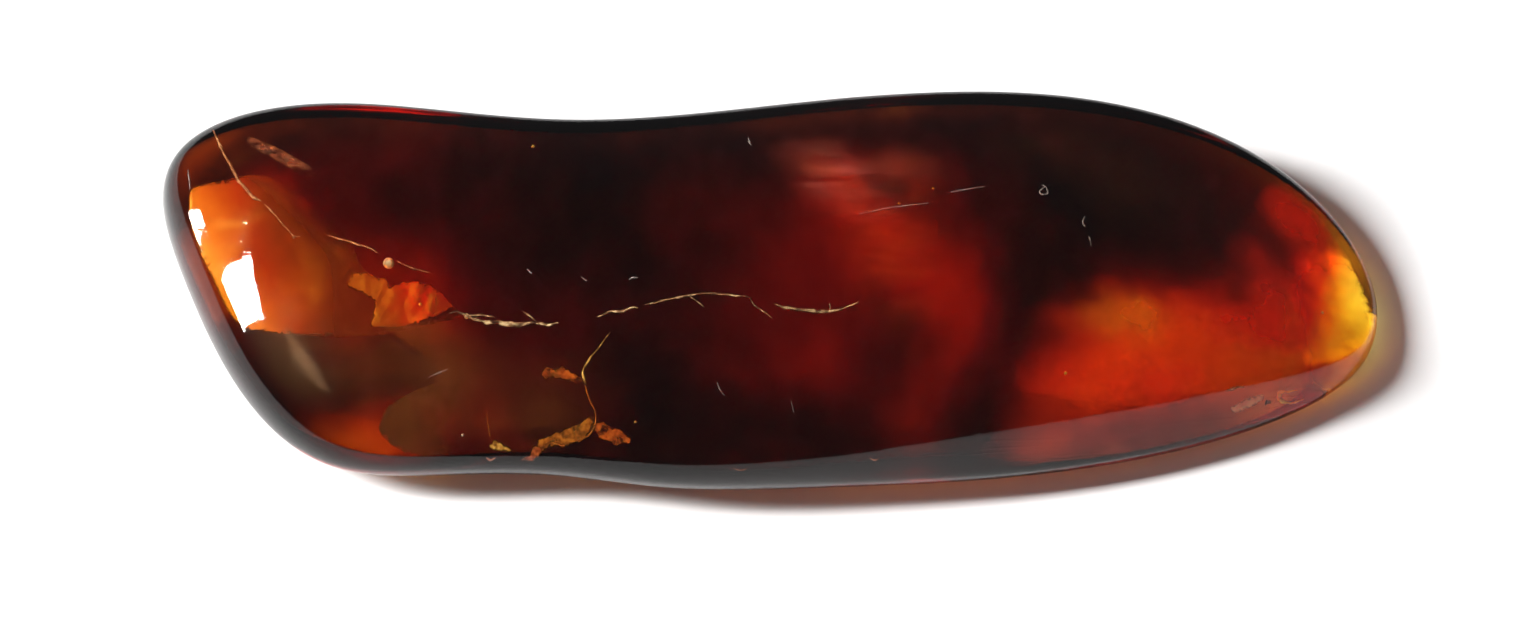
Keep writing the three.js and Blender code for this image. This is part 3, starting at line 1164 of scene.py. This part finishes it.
BUBBLES = [
    (-16.8, -0.3, 0.5, 0.25),
    (-13.35, -2.75, 0.4, 0.12),
    (-15.4, -1.9, 1.2, 0.07),
    (-13.55, -7.4, 0.2, 0.07),
    (-5.9, -6.9, 0.8, 0.06),
    (13, -4.7, 1.2, 0.07),
    (5.7, 2.5, 1.5, 0.06),
    (7.2, 3.3, 1.5, 0.06),
    (-10.5, 5.5, 0.8, 0.08),
    (24.5, -0.6, 0.6, 0.07),
]
bubbles = [bead_mesh(*row, seed=3 * place) for place, row in enumerate(BUBBLES)]
add_inclusion("bubbles", "bubble", *joined(bubbles), bubble_material())

# ---- milky veils

OVAL_REACH = 1.9  # from a veil's half sizes to its outline


def soft_spots(spots, seed):
    """Solidity in soft spots with an uneven border."""

    def solidity(x, y):
        shift = 0.5 * drift(x, y, 1.2, seed=seed)
        return spots_at(x + shift, y - shift, spots)

    return solidity


milk_red = flake_material(
    "veil_red", [(0.35, (0.38, 0.05, 0.1)), (0.65, (0.72, 0.17, 0.26))],
    size=0.5, gloss=0.7, gaps=(0.3, 0.7), stretch=(0.3, 1.6, 1), turn=-40,
)
milk_brown = milk_material("veil_brown", (0.2, 0.11, 0.1), (0.36, 0.21, 0.2))
milk_rust = milk_material("veil_rust", (0.34, 0.09, 0.045), (0.5, 0.15, 0.08))
milk_pale = milk_material("veil_pale", (0.42, 0.27, 0.26), (0.6, 0.42, 0.4), size=0.5)

# name, x, y, half length, half width, turn, depth, share, seed, material
VEILS = [
    ("veil_red_cloud", 2.9, 3.7, 2, 1.1, -35, 0.45, 0.36, 401, milk_red),
    ("veil_red_cloud_right", 5.9, 4.3, 1.1, 0.8, 0, 0.5, 0.16, 411, milk_red),
    ("veil_red_low", 5.6, 0.3, 1.6, 2.6, 15, 2, 0.14, 415, milk_red),
    ("veil_void", 5.6, 3.9, 1.4, 1, 0, 1, 0.07, 421, milk_brown),
    ("veil_lower_left", -21, -3.4, 2, 1.1, -55, 0.4, 0.16, 431, milk_brown),
    ("veil_under_crack", -15.5, -5, 3.4, 1.4, -8, 0.6, 0.16, 435, milk_rust),
    ("veil_shell", -10.3, -5.9, 2.2, 1.2, 10, 0.8, 0.08, 437, milk_rust),
    ("veil_shoulder", 16, 4.3, 3, 1.6, -15, 0.5, 0.025, 441, milk_brown),
    ("veil_haze", 13, 5.8, 2.2, 1, 0, 0.6, 0.03, 451, milk_brown),
]
for name, x, y, length, width, turn, depth, amount, seed, material in VEILS:
    border = oval(x, y, length * OVAL_REACH, width * OVAL_REACH, turn)
    patch = soft_spots([(x, y, length, width, turn, amount)], seed=301)
    add_flake(name, border, depth, 0.25, seed, material, patch, feather=0.4, roughness=0.15)

# The pale streak below the crack face: x, y, width along its middle.
STREAK = [
    (-21.4, -2.9, 0.4), (-21, -3.5, 0.9), (-20.6, -4.3, 1.1), (-19.9, -5.2, 0.8),
    (-19.3, -5.8, 0.3),
]
add_flake("veil_streak", ribbon_outline(STREAK), 0.35, 0.12, 461, milk_pale, 0.3, feather=0.5)

# ---- a painted glow in the clear part

# A milky veil with painted light: orange at the glow and red away from it. Its spots are as in the
# smoke's tables.
PAINTED_GLOW_SPOTS = [
    (15.8, -2.1, 2.3, 0.8, 8, 0.7),
    (19.8, -1.8, 1.7, 1, -10, 0.65),
    (22, 0, 1, 2, 20, 0.6),
    (22.2, -1.8, 1, 1, 0, 0.55),
    (23.5, 3.9, 1, 1.7, 40, 0.7),
    (15.5, -4.5, 3.8, 0.9, 8, 0.5),
]
PAINTED_GLOW_OUTLINE = [
    (11, -5.5), (11.6, -1.8), (14.5, -0.2), (18.5, 0.8), (20.8, 3.4), (22.2, 5.8), (24, 5.2),
    (25.4, 3.4), (25.4, 1), (25, -1), (24.2, -3), (21, -4.2), (16.5, -5.6),
]
GLOW_X, GLOW_Y = 15.6, -2.2


def painted_glow_tone(x, y):
    """Painted light: 0 at the glow and 1 well away from it."""
    return smooth_step(math.hypot(x - GLOW_X, 1.6 * (y - GLOW_Y)), 0.8, 4.5)


painted_glow_veil = flake_material(
    "veil_painted_glow",
    [(0, (1, 0.34, 0.03)), (0.4, (0.98, 0.09, 0.02)), (1, (0.9, 0.02, 0.01))],
    size=1.2, mottling=0.35, gloss=0.7, gaps=(0.2, 0.65),
)
add_flake(
    "veil_painted_glows", PAINTED_GLOW_OUTLINE, 1.4, 0.25, 471, painted_glow_veil, soft_spots(PAINTED_GLOW_SPOTS, seed=501), painted_glow_tone,
    feather=0.5, roughness=0.15,
)

# ---- a painted glow by the tip: a gold flake

# A flat gold flake low in the tip, facing the window so that it mirrors it and flashes gold: painted
# light that stands in for the glow gathered in the tip.
PAINTED_TIP_GLOW = [
    (22.6, -2.4), (22.2, -1), (22.2, 1), (22.4, 3.6), (23.8, 4.4), (25.4, 3.2), (26.5, 0.8),
    (26.7, -0.8), (26.5, -2), (25.8, -3), (24.6, -3),
]
PAINTED_TIP_GLOW_SPOTS = [(25.3, -0.5, 2.2, 2.1, 0, 1), (24.5, 1.5, 1.4, 1.7, 20, 0.9)]


def painted_tip_glow_depth(x, y):
    """A plane that rises to the right and to the back, kept inside the stone."""
    low, high = span_at(x, y)
    plane = 0.55 + 0.09 * (x - 25.3) + 0.14 * (y + 0.6)
    return high - min(max(plane, low + 0.1), high - 0.15)


def painted_tip_glow_solidity(x, y):
    """Solid at the tip, with an uneven fade to the left and to the back."""
    shift = 0.4 * drift(x, y, 1, seed=521)
    soft_side = smooth_step(x + 0.2 * y + 0.6 * drift(x, y, 1.5, seed=522), 21.8, 23.8)
    soft_back = smooth_step(y + 0.6 * drift(x, y, 1.5, seed=523), 3.4, 1)
    return spots_at(x + shift, y - shift, PAINTED_TIP_GLOW_SPOTS) * soft_side * soft_back


def painted_tip_glow_tone(x, y):
    """Painted light: orange on the side of the stone, yellow at the very tip, where the painted glow
    is brightest.
    """
    return smooth_step(x - 0.45 * y, 22.2, 26)


painted_tip_glow = flake_material(
    "painted_tip_glow",
    [
        (0, (0.8, 0.03, 0.02)), (0.4, (1, 0.16, 0.04)), (0.75, (1, 0.66, 0.2)),
        (1, (1, 0.98, 0.4)),
    ],
    size=0.8, mottling=0.3, gloss=0.31, relief=0.01, gaps=(0, 0.3), metallic=1,
)
add_flake(
    "painted_tip_glow", PAINTED_TIP_GLOW, painted_tip_glow_depth, 0.15, 481, painted_tip_glow, painted_tip_glow_solidity, painted_tip_glow_tone,
    feather=0.3, roughness=0.015,
)

# A curled thread and a small chip at the front of the tip flash too. The thread is painted light: a
# gold thread that stands in for a bright curl of light gathered by the stone.
PAINTED_CAUSTIC_CURL = [[
    (23.7, -4.5, 4), (23.3, -4.68, 12), (22.9, -4.78, 18), (22.6, -4.74, 22), (22.65, -4.58, 22),
    (22.95, -4.48, 14), (23.4, -4.35, 4),
]]
TIP_CHIP = [
    (20.3, -5.5), (20.9, -5.2), (21.6, -4.9), (21.9, -4.8), (21.85, -5), (21.3, -5.3), (20.6, -5.6),
]
painted_caustic_thread = thread_material(
    "painted_caustic_flash", [(0.35, (1, 0.25, 0.03)), (0.6, (1, 0.62, 0.08))], gloss=0.3, metallic=0.3
)
ember_chip = flake_material(
    "chip_ember", [(0.3, (0.8, 0.15, 0.06)), (0.7, (0.95, 0.35, 0.15))], size=0.3, gaps=(0.2, 0.5)
)
add_slivers("painted_caustic_curl", PAINTED_CAUSTIC_CURL, 0.25, 491, painted_caustic_thread)
add_flake("tip_chip", TIP_CHIP, 0.15, 0.08, 495, ember_chip, ragged=0.05)

# ---- two milky lobes with sharp left borders, lower left

UPPER_LOBE = [
    (-17.3, -2.8), (-16.9, -3.1), (-16.2, -3.5), (-15.4, -4), (-15, -4.5), (-14.9, -5.1),
    (-15.3, -5.5), (-14.2, -5.3), (-13.1, -4.8), (-12.3, -3.8), (-13, -2.9), (-14.7, -2.65),
    (-15.9, -2.75),
]
LOWER_LOBE = [
    (-16.4, -5.8), (-17, -6.2), (-17.2, -6.6), (-17.25, -7), (-16.9, -7.4), (-16, -7.8),
    (-14.8, -7.9), (-13.4, -7.4), (-12.9, -6.2), (-13.6, -5.2), (-15.2, -5.3),
]


def lobed(start, end, amount):
    """Solidity that fades out between two places along x."""
    return lambda x, y: amount * smooth_step(x + 0.5 * drift(x, y, 1), end, start)


tan_milk = milk_material("lobe_tan", (0.42, 0.1, 0.05), (0.6, 0.18, 0.1), 0.9, (0, 0.5))
dark_milk = milk_material("lobe_brown", (0.06, 0.012, 0.006), (0.12, 0.028, 0.014), 0.9, (0, 0.4))
upper = lobed(-16.6, -13.4, 0.16)
lower = lobed(-16.4, -13.6, 0.7)
add_flake("upper_lobe", UPPER_LOBE, 0.9, 0.2, 601, tan_milk, upper, feather=0.12)
add_flake("lower_lobe", LOWER_LOBE, 0.9, 0.2, 611, dark_milk, lower, feather=0.12)
